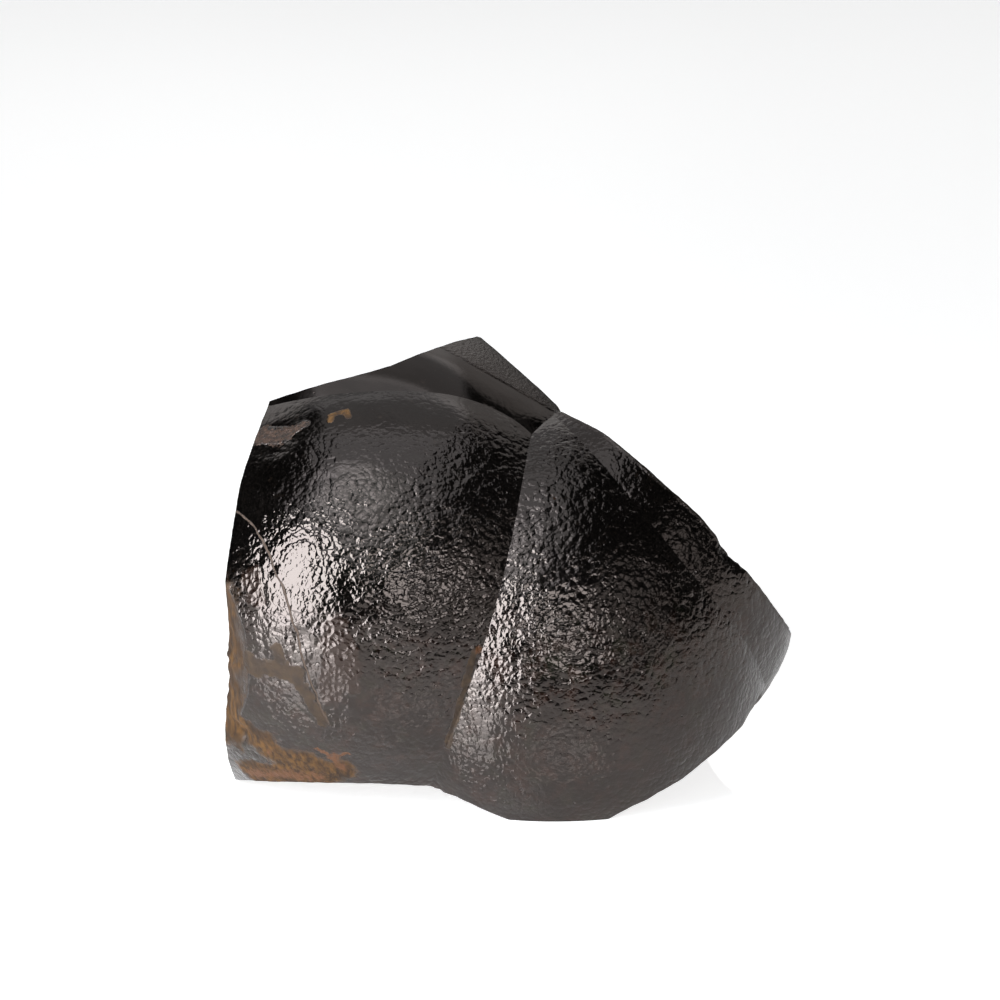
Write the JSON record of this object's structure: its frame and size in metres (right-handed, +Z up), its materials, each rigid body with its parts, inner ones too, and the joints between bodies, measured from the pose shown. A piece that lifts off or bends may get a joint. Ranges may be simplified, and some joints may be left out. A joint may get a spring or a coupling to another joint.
{
  "type": "polished botryoidal goethite specimen",
  "caption": "Polished dark brown-black mineral stone of swollen domes that meet in sharp valleys, with broken sides and back, standing on a flat base.",
  "frame": {"origin": "middle of the bounding box, on the surface that the stone stands on", "axes": "+Z up, +X to the right across the polished front, +Y from the polished front to the broken back"},
  "size_m": [0.0789, 0.0517, 0.0601],
  "materials": {
    "goethite": "high polish over a fine orange-peel grain on the domes, rough and fibrous on the broken faces, ochre stains at the lower left"
  },
  "bodies": {
    "root": {"goethite_stone": "goethite"}
  },
  "joints": []
}
